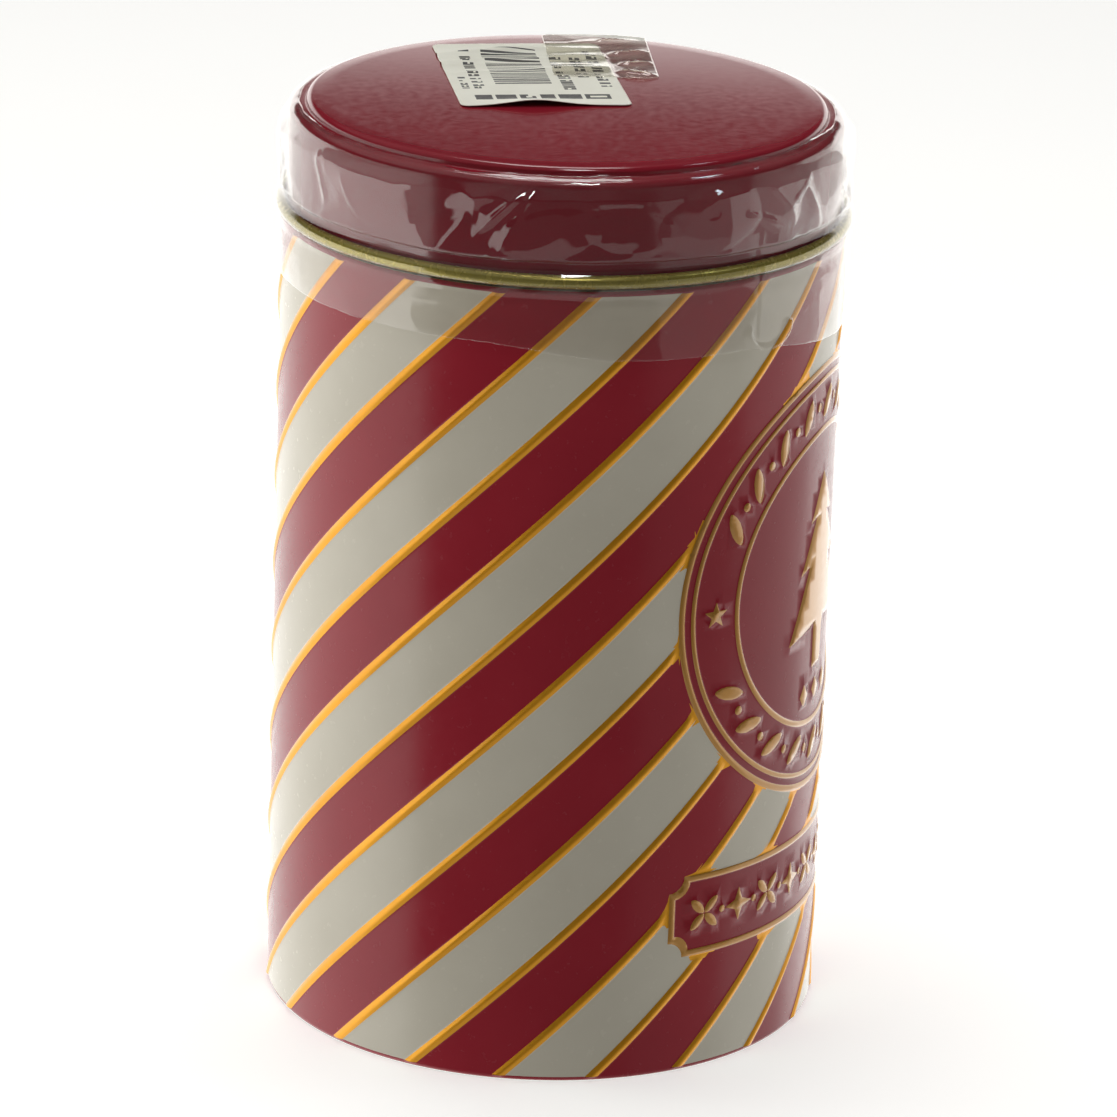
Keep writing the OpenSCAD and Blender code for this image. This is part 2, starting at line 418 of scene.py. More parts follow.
RED = lacquer("red_print", (0.36, 0.014, 0.030), (0.40, 0.019, 0.036))
WHITE = lacquer("white_print", (0.70, 0.655, 0.54), (0.76, 0.715, 0.595))
GOLD = lacquer("gold_print", (0.80, 0.35, 0.010), (0.90, 0.41, 0.014), rough=(0.36, 0.44),
               metallic=0.6, coat=0.3)
BADGE_GOLD = lacquer("badge_gold_print", (0.50, 0.235, 0.035), (0.58, 0.28, 0.045), rough=(0.34, 0.42),
                     metallic=0.45, coat=0.9)
FIELD = lacquer("badge_print", (0.33, 0.016, 0.030), (0.37, 0.022, 0.036))
TINPLATE = lacquer("bare_tinplate", (0.40, 0.39, 0.36), (0.48, 0.47, 0.435), rough=(0.26, 0.36), metallic=0.9,
                   grain=1500, mottle=200)
INSIDE = lacquer("gold_lacquer_inside", (0.42, 0.36, 0.15), (0.50, 0.43, 0.19), rough=(0.2, 0.3),
                 metallic=0.75)
LID_RED = lacquer("lid_red", (0.235, 0.008, 0.019), (0.265, 0.010, 0.023), rough=(0.10, 0.15),
                  bump=0.008, ior=1.5)
CURL_GOLD = lacquer("curl_lacquer", (0.37, 0.31, 0.055), (0.43, 0.365, 0.07), rough=(0.22, 0.3),
                    metallic=0.45)


# ---------------------------------------------------------------- body wall
def ring_faces(lower, upper):
    """Quads between two closed rings of the same length."""
    n = len(lower)
    return [(lower[i], lower[(i + 1) % n], upper[(i + 1) % n], upper[i]) for i in range(n)]


def zip_rings(low, low_angle, high, high_angle):
    """Triangles between two closed rings of different counts, walked round by angle."""
    faces, i, j = [], 0, 0
    n, m = len(low), len(high)
    while i < n or j < m:
        next_low = low_angle[i + 1] if i + 1 < n else 2 * math.pi + low_angle[0]
        next_high = high_angle[j + 1] if j + 1 < m else 2 * math.pi + high_angle[0]
        if j >= m or (i < n and next_low <= next_high):
            faces.append((low[i % n], low[(i + 1) % n], high[j % m]))
            i += 1
        else:
            faces.append((low[i % n], high[(j + 1) % m], high[j % m]))
            j += 1
    return faces


def build_body():
    h = relief(flat[:, 0], flat[:, 1])
    pts = wrap(flat, h)
    # join the two edges of the sheet at the seam
    left = {round(z, 3): i for i, (s, z) in enumerate(flat) if s < -SEAM + 1e-3}
    remap = np.arange(len(flat))
    for i, (s, z) in enumerate(flat):
        if s > SEAM - 1e-3:
            remap[i] = left[round(z, 3)]
    faces = [tuple(remap[list(t)]) for t in tris]
    centre = flat[tris].mean(1)
    kind = np.array(colour(centre[:, 0], centre[:, 1]))
    cs, cz = centre[:, 0], centre[:, 1]
    on_art = (np.hypot(cs, cz - BADGE_Z) < 29.9) | ((np.abs(cs) < 29.6) & (cz > 16.5) & (cz < 28.1))
    which = list(np.where((kind == 2) & on_art, 6, kind))
    verts = [tuple(p) for p in pts]
    # analytic normals, so the shading follows the relief and not the triangles
    e = 0.02
    dhs = (relief(flat[:, 0] + e, flat[:, 1]) - relief(flat[:, 0] - e, flat[:, 1])) / (2 * e)
    dhz = (relief(flat[:, 0], flat[:, 1] + e) - relief(flat[:, 0], flat[:, 1] - e)) / (2 * e)
    a = flat[:, 0] / R
    out = np.stack([np.sin(a), -np.cos(a), 0 * a], -1)
    along = np.stack([np.cos(a), np.sin(a), 0 * a], -1)
    up = np.array([0, 0, 1.0])
    normals = out - dhs[:, None] * along - dhz[:, None] * up
    normals = [tuple(v) for v in normals / np.linalg.norm(normals, axis=1)[:, None]]

    def edge_ring(z0):
        ids = [i for i in range(len(flat)) if abs(flat[i, 1] - z0) < 1e-3 and flat[i, 0] < SEAM - 1e-3]
        ids.sort(key=lambda i: flat[i, 0])
        return ids, [flat[i, 0] / R + math.pi for i in ids]

    low_ids, low_angle = edge_ring(Z_FOOT)
    high_ids, high_angle = edge_ring(Z_STEP)
    t = SHEET
    # down round the foot, up the inside fold, back and up the inner face
    down = arc(36.7, 0.8, 0.8, 0, -90, 6)[1:] + arc(35.5, 0.8, 0.8, -90, -180, 6)
    down += [(34.7, 1.6), (35.0, 1.6), (35.0, 0.8)] + arc(35.5, 0.8, 0.5, 180, 270, 4)[1:]
    down += arc(36.7, 0.8, 0.5, -90, 0, 4) + [(37.2, 3.0), (37.2, 4.0), (37.2, 40.0)]
    # up over the neck and round the mouth, then down the inner face
    hollow = (NECK_R + t, Z_STEP + STEP_R + t)
    upw = arc(R - STEP_R, Z_STEP, STEP_R, 0, 90, 6)[1:]
    upw += arc(*hollow, t, 270, 180, 5)[1:]
    upw += [(NECK_R, 112.0), (NECK_R, 118.0)] + arc(*MOUTH, 0.7, 0, 240, 18)
    upw += arc(*MOUTH, 0.4, 240, 0, 14)
    upw += [(NECK_R - t, 112.0)] + arc(*hollow, 2 * t, 180, 270, 5)
    upw += arc(R - STEP_R, Z_STEP, STEP_R - t, 90, 0, 5)[1:] + [(37.2, 107.0), (37.2, 60.0)]

    def bump_in(r, z, ang):
        """Folded layers of the side seam stand proud on the inner face."""
        gap = abs(abs((ang - math.pi)) - math.pi) * R
        if r > 37.15 and 4.0 <= z <= 107.0 and gap < 2.2:
            return r - 0.3
        return r

    def sweep(profile, first, angles, slots_for):
        prev = first
        for k, (r, z) in enumerate(profile):
            ring = []
            for ang in angles:
                q = bump_in(r, z, ang)
                x = ang - math.pi
                ring.append(len(verts))
                verts.append((q * math.sin(x), -q * math.cos(x), z))
                normals.append(None)
            new = ring_faces(prev, ring)
            faces.extend(new)
            which.extend([slots_for(k, r, z)] * len(new))
            prev = ring
        return prev

    def flip_from(start):
        for i in range(start, len(faces)):
            faces[i] = tuple(reversed(faces[i]))

    start = len(faces)
    end_low = sweep(down, low_ids, low_angle, lambda k, r, z: 0 if k < 3 else (4 if k < 13 else 5))
    flip_from(start)
    end_high = sweep(upw, high_ids, high_angle, lambda k, r, z: 0 if k < 3 else (4 if k < 23 else 5))
    start = len(faces)
    joined = zip_rings(end_low, low_angle, end_high, high_angle)
    faces.extend(joined)
    which.extend([5] * len(joined))
    flip_from(start)
    slots = [RED, WHITE, GOLD, FIELD, TINPLATE, INSIDE, BADGE_GOLD]
    obj = mesh_object("tin_body", verts, faces, slots, which)
    me = obj.data
    own = [Vector() for _ in verts]
    for p in me.polygons:
        for v in p.vertices:
            own[v] += p.normal * p.area
    vn = [Vector(n) if n is not None else own[i].normalized() for i, n in enumerate(normals)]
    me.normals_split_custom_set_from_vertices([tuple(v) for v in vn])
    return obj


body = build_body()
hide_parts("body_wall")
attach(body, "tin")


# ---------------------------------------------------------------- lathe-made pieces
def lathe(name, profile, slots, slot_of, steps=240, wobble=None, closed=True):
    """Turns a closed profile about Z; slot_of(k) gives the material of profile edge k."""
    verts, faces, which = [], [], []
    rings = []
    for k, (r, z) in enumerate(profile):
        if r < 1e-6:
            rings.append([len(verts)])
            verts.append((0, 0, z))
            continue
        ring = []
        for i in range(steps):
            a = 2 * math.pi * i / steps
            dr, dz = wobble(r, z, a) if wobble else (0, 0)
            ring.append(len(verts))
            verts.append(((r + dr) * math.cos(a), (r + dr) * math.sin(a), z + dz))
        rings.append(ring)
    count = len(profile)
    for k in range(count if closed else count - 1):
        a, b = rings[k], rings[(k + 1) % count]
        if len(a) == 1 and len(b) == 1:
            continue
        for i in range(steps):
            j = (i + 1) % steps
            if len(a) == 1:
                f = (a[0], b[i], b[j])
            elif len(b) == 1:
                f = (a[i], b[0], a[j])
            else:
                f = (a[i], b[i], b[j], a[j])
            faces.append(f)
            which.append(slot_of(k))
    return mesh_object(name, verts, faces, slots, which)


def lid_profile():
    """The lid's sheet: out over the crimson side to the curl's tip, back along the lacquered side."""
    t = SHEET
    across = (0, 6, 12, 18, 24, 29, 31.5)
    down = (120.0, 117.0, 114.0, 112.2)
    edge = (PANEL_BEND, LID_TOP - 0.8)
    hollow = (34.8, SHOULDER + t)
    corner = (LID_R - 1.2, SHOULDER - 1.2)
    outer = [(r, LID_TOP) for r in across]
    outer += arc(*edge, 0.8, 90, 0, 8) + arc(*hollow, t, 180, 270, 5) + arc(*corner, 1.2, 90, 0, 10)
    outer += [(LID_R, z) for z in down] + arc(*CURL, 0.6, 180, 460, 22)
    inner = arc(*CURL, 0.9, 460, 180, 30) + [(LID_R - t, z) for z in reversed(down)]
    inner += arc(*corner, 1.2 - t, 0, 90, 8) + arc(*hollow, 2 * t, 270, 180, 4)
    inner += arc(*edge, 0.8 - t, 0, 90, 5) + [(r, LID_TOP - t) for r in reversed(across)]
    return outer, inner


outer, inner = lid_profile()


def crown(r):
    """A lid panel is never quite flat: it domes very slightly."""
    return -0.30 * (r / PANEL_BEND) ** 2


def lid_wobble(r, z, a):
    if z > 124.2 and r < 34.6:
        return 0, crown(r) * min(1.0, (z - 124.2) / 0.9)
    if 113 < z < 121:
        return 0.015 * math.sin(3 * a + 1.0), 0
    return 0, 0


lid = lathe("tin_lid", outer + inner, [LID_RED, CURL_GOLD, INSIDE],
            lambda k: 0 if k < len(outer) - 1 else (1 if k < len(outer) + 31 else 2), 288, lid_wobble)
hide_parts("lid_shell")
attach(lid, "lid")

base_pts = [(0, 1.75), (26.0, 1.75), (26.6, 2.0), (27.6, 2.0), (28.2, 1.75), (30.7, 1.75)]
base_pts += [(31.5, 2.45), (34.6, 2.45)]
base_pts += arc(34.65, 1.7, 0.75, 90, 0, 6)[1:] + [(35.4, 0.4), (35.1, 0.4)] + arc(34.65, 1.7, 0.45, 0, 90, 5)
base_pts += [(31.5, 2.15), (30.7, 1.45), (28.2, 1.45), (27.6, 1.7), (26.6, 1.7), (26.0, 1.45), (0, 1.45)]
base = lathe("tin_base", base_pts, [INSIDE, TINPLATE], lambda k: 0 if k < 14 else 1, 192)
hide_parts("base_disc")
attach(base, "tin")


# ---------------------------------------------------------------- sealing tape
AZ = math.radians(-72.1)


def noise_waves(seed, count, short, long_, power=1.0):
    """Random plane waves; wavelengths in mm between short and long_."""
    rng = np.random.default_rng(seed)
    lam = np.exp(rng.uniform(math.log(short), math.log(long_), count))
    ang = rng.uniform(0, math.pi, count)
    ph = rng.uniform(0, 2 * math.pi, count)
    amp = (lam / long_) ** power
    return lam, ang, ph, amp / amp.sum()


def soft_noise(s, v, waves, creased=False):
    out = 0 * s
    for lam, ang, ph, amp in zip(*waves):
        x = 2 * math.pi / lam * (s * math.cos(ang) + v * math.sin(ang)) + ph
        if creased:
            out = out + amp * (1 - np.sqrt(np.sin(x / 2) ** 2 + 0.002))
        else:
            out = out + amp * (0.5 + 0.5 * np.sin(x))
    return out


def ridge(s, v, p, q, height, width):
    """A crease between p and q, sharp on top and tapering to its ends."""
    (s0, v0), (s1, v1) = p, q
    ds, dv = s1 - s0, v1 - v0
    size = math.hypot(ds, dv)
    t = ((s - s0) * ds + (v - v0) * dv) / size ** 2
    d = np.abs((s - s0) * dv - (v - v0) * ds) / size
    ends = np.clip(t / 0.25, 0, 1) * np.clip((1 - t) / 0.35, 0, 1)
    return height * ends * np.exp(-d / width)


def seg_lens(s, v, centre, size, turn, height):
    """A blister of trapped air with a fairly sharp rim."""
    x, y = s - centre[0], v - centre[1]
    c, d = math.cos(turn), math.sin(turn)
    q = ((x * c + y * d) / size[0]) ** 2 + ((-x * d + y * c) / size[1]) ** 2
    return height * np.clip(1 - q, 0, 1) ** 0.8


WARP_A = noise_waves(11, 6, 12, 30)
WARP_B = noise_waves(12, 6, 12, 30)
BROAD = noise_waves(21, 9, 9, 19, 1.0)
CREASED = noise_waves(5, 6, 6.5, 15, 0.8)
FINE = noise_waves(31, 10, 2.2, 6, 1.0)


def rumple(s, v):
    """Height of the tape over what it is stuck to; v is the height up the tin in mm."""
    ws = s + 5 * soft_noise(s, v, WARP_A)
    wv = v + 5 * soft_noise(s, v, WARP_B)
    h = 1.25 * soft_noise(ws, wv, BROAD) + 1.0 * soft_noise(ws, wv, CREASED, True)
    h = h + 0.05 * soft_noise(s, v, FINE)
    for r in CREASES:
        h = h + ridge(s, v, *r)
    for b in BLISTERS:
        h = h + seg_lens(s, v, *b)
    return h


# places along the skirt are s = 36.8 x the angle from the camera's side, positive to its right
CREASES = [((-3.5, 124.4), (-15.5, 119.5), 0.60, 0.55), ((-3.5, 124.4), (-11.5, 116.0), 0.65, 0.55),
           ((-3.0, 124.6), (-8.0, 114.5), 0.45, 0.5), ((-2.0, 124.4), (11.0, 121.8), 0.45, 0.45),
           ((-12.0, 119.0), (-16.5, 113.0), 0.25, 0.6), ((24.0, 119.0), (32.0, 115.5), 0.6, 0.7),
           ((27.5, 123.0), (33.5, 116.0), 0.7, 0.8), ((31.0, 118.5), (37.0, 122.0), 0.6, 0.6),
           ((35.0, 121.0), (40.0, 114.0), 0.7, 0.8), ((-32.0, 121.5), (-28.0, 115.0), 0.3, 0.6),
           ((-38.0, 122.5), (-35.0, 115.5), 0.4, 0.7), ((6.0, 113.6), (13.0, 115.8), 0.25, 0.5),
           ((-10.0, 114.2), (-5.0, 113.4), 0.28, 0.4)]
BLISTERS = [((-24.0, 118.0), (5.2, 3.6), 0.2, 0.40), ((-3.0, 117.6), (3.6, 1.6), 0.5, -0.35),
            ((-2.0, 117.0), (7.5, 3.4), 0.25, 0.55), ((8.5, 117.6), (6.0, 3.0), -0.1, 0.55),
            ((19.5, 118.2), (7.5, 4.2), 0.12, 0.85), ((19.0, 119.4), (1.3, 0.9), 0.1, -0.22)]
TAPE_END = 0.735


def tape_grid(name, path, rows, columns, top_shift, bottom_shift, lift, mat, thick=0.07):
    """A strip of tape: path is (r, z) down the tin; the shifts move its two edges along the path."""
    path = np.array(path, float)
    run = np.concatenate([[0], np.cumsum(np.hypot(*np.diff(path, axis=0).T))])
    total = run[-1]
    ang = np.linspace(0, 2 * math.pi, columns, endpoint=False) - math.pi
    t = np.linspace(0, 1, rows)
    A, T = np.meshgrid(ang, t)
    v0, v1 = top_shift(A), total - bottom_shift(A)
    V = v0 + (v1 - v0) * T
    r, z = np.interp(V, run, path[:, 0]), np.interp(V, run, path[:, 1])
    e = 0.12
    dr = np.interp(V + e, run, path[:, 0]) - np.interp(V - e, run, path[:, 0])
    dz = np.interp(V + e, run, path[:, 1]) - np.interp(V - e, run, path[:, 1])
    n = np.hypot(dr, dz) + 1e-9
    nr, nz = -dz / n, dr / n
    h = lift(A, V, r, z)
    outer_r, outer_z = r + nr * (h + thick), z + nz * (h + thick)
    inner_r, inner_z = r + nr * h, z + nz * h
    verts = []
    for rr, zz in ((outer_r, outer_z), (inner_r, inner_z)):
        for k in range(rows):
            a = A[k] + AZ
            verts += list(zip(rr[k] * np.sin(a), -rr[k] * np.cos(a), zz[k]))
    faces = []
    base_i = rows * columns
    for k in range(rows - 1):
        for i in range(columns):
            j = (i + 1) % columns
            a, b, c, d = k * columns + i, k * columns + j, (k + 1) * columns + j, (k + 1) * columns + i
            faces.append((d, c, b, a))
            faces.append((base_i + a, base_i + b, base_i + c, base_i + d))
    for i in range(columns):
        j = (i + 1) % columns
        faces.append((i, j, base_i + j, base_i + i))
        m = (rows - 1) * columns
        faces.append((m + j, m + i, base_i + m + i, base_i + m + j))
    obj = mesh_object(name, verts, faces, [mat], [0] * len(faces))
    for p in obj.data.polygons:
        p.use_smooth = True
    return obj


def clear_film(name, tint, haze, gloss_rough, scale, mirror=0.045):
    """Clear film: sees through, mirrors by Fresnel, with faint milky streaks of adhesive."""
    m = bpy.data.materials.new(name)
    m.use_nodes = True
    nodes, links = m.node_tree.nodes, m.node_tree.links
    nodes.clear()
    see = nodes.new("ShaderNodeBsdfTransparent")
    see.inputs["Color"].default_value = (*tint, 1)
    milk = nodes.new("ShaderNodeBsdfDiffuse")
    milk.inputs["Color"].default_value = (0.80, 0.78, 0.72, 1)
    gloss = nodes.new("ShaderNodeBsdfGlossy")
    noise = add_noise(nodes, links, scale, 5, 0.6, (1, 1, 3.0))
    smeared = add_range(nodes, links, noise.outputs["Fac"], *gloss_rough)
    links.new(smeared.outputs["Result"], gloss.inputs["Roughness"])
    body_mix = nodes.new("ShaderNodeMixShader")
    links.new(add_range(nodes, links, noise.outputs["Fac"], *haze).outputs["Result"], body_mix.inputs["Fac"])
    links.new(see.outputs[0], body_mix.inputs[1])
    links.new(milk.outputs[0], body_mix.inputs[2])
    # Schlick's curve from Facing, which is the same from both sides of the film
    edge = nodes.new("ShaderNodeLayerWeight")
    edge.inputs["Blend"].default_value = 0.5
    curve = nodes.new("ShaderNodeMath")
    curve.operation = "POWER"
    links.new(edge.outputs["Facing"], curve.inputs[0])
    curve.inputs[1].default_value = 5.0
    span = nodes.new("ShaderNodeMapRange")
    span.inputs["To Min"].default_value = mirror
    links.new(curve.outputs[0], span.inputs["Value"])
    top = nodes.new("ShaderNodeMixShader")
    links.new(span.outputs["Result"], top.inputs["Fac"])
    links.new(body_mix.outputs[0], top.inputs[1])
    links.new(gloss.outputs[0], top.inputs[2])
    out = nodes.new("ShaderNodeOutputMaterial")
    links.new(top.outputs[0], out.inputs["Surface"])
    return m


TAPE = clear_film("clear_tape", (0.99, 0.985, 0.98), (0.0, 0.012), (0.02, 0.05), 260)


def bell(x, centre, width):
    return np.exp(-((x - centre) / width) ** 2)


def tape_step(a):
    """The end of the tape lies over its start: one thickness more to the right of the end."""
    return 0.10 * np.clip((a - TAPE_END) / 0.004, 0, 1) * np.clip((1.9 - a) / 0.3, 0, 1)


def upper_lift(a, run, r, z):
    s = a * 36.8
    on_skirt = np.clip((z - 112.3) / 1.5, 0, 1) * np.clip((123.2 - z) / 1.6, 0.12, 1)
    loose = 0.9 * bell(a, 1.22, 0.10) * bell(z, 119.5, 3.0) + 0.5 * bell(a, -1.45, 0.12) * bell(z, 119, 3)
    flare = (0.15 + 1.0 * soft_noise(s * 0.6, 0 * s, FINE) ** 2) * np.exp(-run / 0.6)
    grain = 0.012 * soft_noise(s * 1.6, z * 1.6, FINE)
    return 0.03 + rumple(s, z) * on_skirt + loose + tape_step(a) + flare + grain


def upper_edge(a):
    s = a * 36.8
    wave = 0.5 * soft_noise(s, 0 * s, BROAD) + 0.25 * soft_noise(s, 0 * s, FINE)
    return np.clip(0.15 + wave + 0.9 * bell(a, -0.35, 0.12) - 0.5 * bell(a, 0.9, 0.2), 0, 3)


shoulder = [(34.85, 124.05), (35.2, 124.05)] + arc(35.6, 122.8, 1.23, 88, 0, 12) + [(36.83, 113.2)]
tent = [(38.10, 111.55)] + arc(37.4, 110.9, 0.95, 40, -30, 8)
tape_top = tape_grid("seal_tape_top", shoulder + tent, 56, 900, upper_edge, lambda a: 0 * a, upper_lift, TAPE)
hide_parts("seal_tape_upper")
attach(tape_top, "lid")

BEAD_CLEAR = 0.42


def lower_level(a):
    """The tape was wound slightly downhill: its lower edge drops in two steps across the front and
    comes back up round the hidden side."""
    front = 102.4 - 2.0 * smoothstep(a, -0.3, 0.3) - 2.7 * smoothstep(a, 0.6, 1.3)
    return front + 3.9 * smoothstep(a, 1.4, math.pi) - 0.8 * smoothstep(-a, 1.35, math.pi)


def lower_end(a):
    low = lower_level(a) + 0.25 * soft_noise(a * 37.5, 0 * a, FINE) - 0.12
    return np.clip(low - 97.5, 0, 8)


def lower_lift(a, run, r, z):
    s = a * 37.5
    bump_ = 0.30 * soft_noise(s * 1.2, z * 1.6, CREASED, True) + 0.05 * soft_noise(s, z, FINE)
    ring = 0.7 * np.exp(-((np.hypot((s - 29.5) / 3.6, (z - 102.6) / 2.6) - 1) / 0.16) ** 2) * (z < 103.2)
    return 0.02 + BEAD_CLEAR * np.clip((108.6 - z) / 1.5, 0, 1) + bump_ + ring + 0.6 * tape_step(a)


strip = [(38.05, 110.35), (37.95, 109.4), (37.72, 108.3), (37.52, 107.2), (37.5, 106.4), (37.5, 97.5)]
tape_low = tape_grid("seal_tape_bottom", strip, 44, 900, lambda a: 0 * a, lower_end, lower_lift, TAPE)
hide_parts("seal_tape_lower")
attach(tape_low, "tin")


# ---------------------------------------------------------------- price label and its film
LABEL = dict(centre=(-5.1, 10.6), size=(22.7, 33.2), turn=8.5)
FILM = dict(centre=(4.1, 21.6), size=(14.2, 23.0), turn=5.0)


def lid_top(x, y):
    return LID_TOP + crown(np.hypot(x, y))


def on_lid(spec, u, v):
    """u runs across the sheet and v along it, in mm from its centre; gives x and y in the tin's frame."""
    a = math.radians(spec["turn"])
    x = spec["centre"][0] + u * math.cos(a) - v * math.sin(a)
    y = spec["centre"][1] + u * math.sin(a) + v * math.cos(a)
    return x * math.cos(AZ) - y * math.sin(AZ), x * math.sin(AZ) + y * math.cos(AZ)


def block(u, v, u0, u1, v0, v1):
    return (u > u0) & (u < u1) & (v > v0) & (v < v1)


def label_ink(u, v):
    """Generic print: a bar field, rows of short dashes where lines of type would be, and a
    row of solid blocks along the near end. Nothing in it can be read."""
    rng = np.random.default_rng(4)
    ink = np.zeros(u.shape, bool)
    at = -5.2
    while at < 11.6:
        bar = rng.choice([0.22, 0.38, 0.6])
        ink |= block(u, v, -5.4, 2.2, at, at + bar)
        at += bar + rng.choice([0.2, 0.34, 0.5])
    for column, half, v0, v1 in ((-7.7, 0.75, -7.5, 11.0), (4.3, 0.8, -8.5, 10.5), (6.9, 0.75, -2.0, 9.0),
                                 (9.3, 0.7, -7.0, 11.5), (-9.6, 0.45, -7.5, -1.0)):
        at = v0
        while at < v1:
            dash = rng.uniform(0.45, 1.1)
            tall = half * rng.choice([0.6, 1.0, 1.0, 1.0])
            cut = rng.uniform(0.25, 0.45) * dash
            mark = block(u, v, column - half, column - half + 2 * tall, at, at + dash)
            if rng.random() < 0.6:
                mid = column - half + tall * rng.uniform(0.6, 1.2)
                mark &= ~block(u, v, mid, mid + 0.45 * tall, at + cut, at + dash)
            ink |= mark
            at += dash + rng.choice([0.3, 0.3, 0.9])
    at = -9.0
    while at < 8.6:
        wide = rng.uniform(1.6, 3.6)
        solid = block(u, v, at, at + wide, -13.2, -10.9)
        if rng.random() < 0.6:
            solid &= ~block(u, v, at + 0.7, at + wide - 0.5, -12.5, -11.7)
        if rng.random() < 0.5:
            solid &= ~block(u, v, at + wide * 0.5, at + wide, -11.7, -10.9)
        ink |= solid
        at += wide + 0.5
    return ink


# ripples in the paper: place, length, half width and height
RIPPLES = ((-6.5, 6.5, 6.5, 0.75, 0.55), (-4.5, 11.5, 8.5, 0.7, 0.6), (1.5, 12.5, 6, 0.9, 0.45),
           (-7.2, 1.0, 3.5, 0.8, 0.22), (4.5, 2.5, 5, 1.3, 0.35), (6.5, 8.5, 5, 1.0, 0.45))


def label_wave(u, v):
    """The paper has lifted: ripples across it and a near edge that stands clear of the lid."""
    near = 0.75 * bell(u, -1.5, 5.0) * np.clip((-12.0 - v) / 4.6, 0, 1) ** 1.5
    lift = 0.10 * np.clip((np.abs(v) - 13) / 3.6, 0, 1) ** 2
    for u0, v0, length, wide, height in RIPPLES:
        along, across = u - u0, v - v0 - 0.12 * (u - u0)
        lift = lift + height * np.exp(-(along / length) ** 2 - (across / wide) ** 2)
    return near + lift + 0.03 * soft_noise(u * 2, v * 2, FINE)


def sheet_grid(name, spec, step, height, thick, mats, which_of):
    """A thin rounded sheet laid on the lid, with its own thickness."""
    w, l = spec["size"]
    nu, nv = int(w / step), int(l / step)
    u, v = np.meshgrid(np.linspace(-w / 2, w / 2, nu + 1), np.linspace(-l / 2, l / 2, nv + 1))
    x, y = on_lid(spec, u, v)
    low = lid_top(x, y) + 0.03 + height(u, v, x, y)
    keep_q = np.ones((nv, nu), bool)
    uc, vc = (u[:-1, :-1] + u[1:, 1:]) / 2, (v[:-1, :-1] + v[1:, 1:]) / 2
    xc, yc = on_lid(spec, uc, vc)
    corner = 1.2
    cu, cv = np.abs(uc) - (w / 2 - corner), np.abs(vc) - (l / 2 - corner)
    keep_q &= ~((cu > 0) & (cv > 0) & (np.hypot(cu, cv) > corner))
    keep_q &= np.hypot(xc, yc) < 33.9
    n = u.size
    verts = list(zip(x.ravel(), y.ravel(), (low + thick).ravel()))
    verts += list(zip(x.ravel(), y.ravel(), low.ravel()))
    kinds = which_of(uc, vc)
    faces, which = [], []
    cols = nu + 1
    padded_q = np.pad(keep_q, 1)
    for j in range(nv):
        for i in range(nu):
            if not keep_q[j, i]:
                continue
            a, b, c, d = j * cols + i, j * cols + i + 1, (j + 1) * cols + i + 1, (j + 1) * cols + i
            faces.append((a, b, c, d))
            faces.append((n + d, n + c, n + b, n + a))
            which += [int(kinds[j, i]), 0]
            for p, q, free in ((a, b, not padded_q[j, i + 1]), (b, c, not padded_q[j + 1, i + 2]),
                               (c, d, not padded_q[j + 2, i + 1]), (d, a, not padded_q[j + 1, i])):
                if free:
                    faces.append((q, p, n + p, n + q))
                    which.append(0)
    used = sorted({i for f in faces for i in f})
    place = {i: k for k, i in enumerate(used)}
    faces = [tuple(place[i] for i in f) for f in faces]
    return mesh_object(name, [verts[i] for i in used], faces, mats, which)


PAPER = lacquer("label_paper", (0.80, 0.785, 0.675), (0.86, 0.845, 0.735), rough=(0.45, 0.6),
                ior=1.45, grain=1800, bump=0.03, mottle=150)
INK = lacquer("label_ink", (0.045, 0.043, 0.04), (0.085, 0.08, 0.072), rough=(0.4, 0.55),
              ior=1.45, grain=2500, bump=0.02, mottle=700)
label = sheet_grid("price_label_paper", LABEL, 0.16, lambda u, v, x, y: label_wave(u, v), 0.10, [PAPER, INK],
                   lambda u, v: label_ink(u, v).astype(int))
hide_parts("price_label")
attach(label, "lid")

FILM_MAT = clear_film("clear_film", (0.97, 0.96, 0.93), (0.0, 0.05), (0.03, 0.09), 300, 0.05)


def film_height(u, v, x, y):
    """Over the label it rests on the paper; beyond it the film has shrunk into folds."""
    a = math.radians(LABEL["turn"])
    cx, cy = x * math.cos(AZ) + y * math.sin(AZ), -x * math.sin(AZ) + y * math.cos(AZ)
    dx, dy = cx - LABEL["centre"][0], cy - LABEL["centre"][1]
    lu, lv = dx * math.cos(a) + dy * math.sin(a), -dx * math.sin(a) + dy * math.cos(a)
    inside = np.clip((11.8 - np.abs(lu)) / 0.8, 0, 1) * np.clip((17.1 - np.abs(lv)) / 0.8, 0, 1)
    h = inside * (0.16 + label_wave(np.clip(lu, -11.3, 11.3), np.clip(lv, -16.5, 16.5)))
    folds = 0.10 * soft_noise(u * 1.2, v * 1.2, CREASED, True)
    puckers = 0.12 * soft_noise(u * 0.6, v * 2.0, CREASED, True) * np.clip((u - 4.0) / 3, 0, 1)
    folds = folds + 0.022 * np.clip(v + 4.0, 0, 30) + puckers
    for p, q, height, width in (((2.2, -4.5), (7.0, -3.6), 0.8, 0.35), ((1.6, -8.2), (7.0, -10.6), 0.9, 0.32),
                                ((1.0, 0.5), (7.0, 2.5), 0.6, 0.4), ((-4.0, 6.0), (6.0, 8.5), 0.6, 0.45)):
        h = h + ridge(u, v, p, q, height, width) * (1 - inside)
    return h + folds * (1 - 0.8 * inside)


film = sheet_grid("label_film_sheet", FILM, 0.22, film_height, 0.05, [FILM_MAT],
                  lambda u, v: np.zeros(u.shape, int))
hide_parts("label_film")
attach(film, "lid")


# ---------------------------------------------------------------- camera
PITCH, YAW, ROLL = math.radians(18.91), math.radians(0.06), math.radians(1.96)
DIST, HEIGHT, FOCAL = 21.65 * R * MM, 9.04 * R * MM, 6333.0


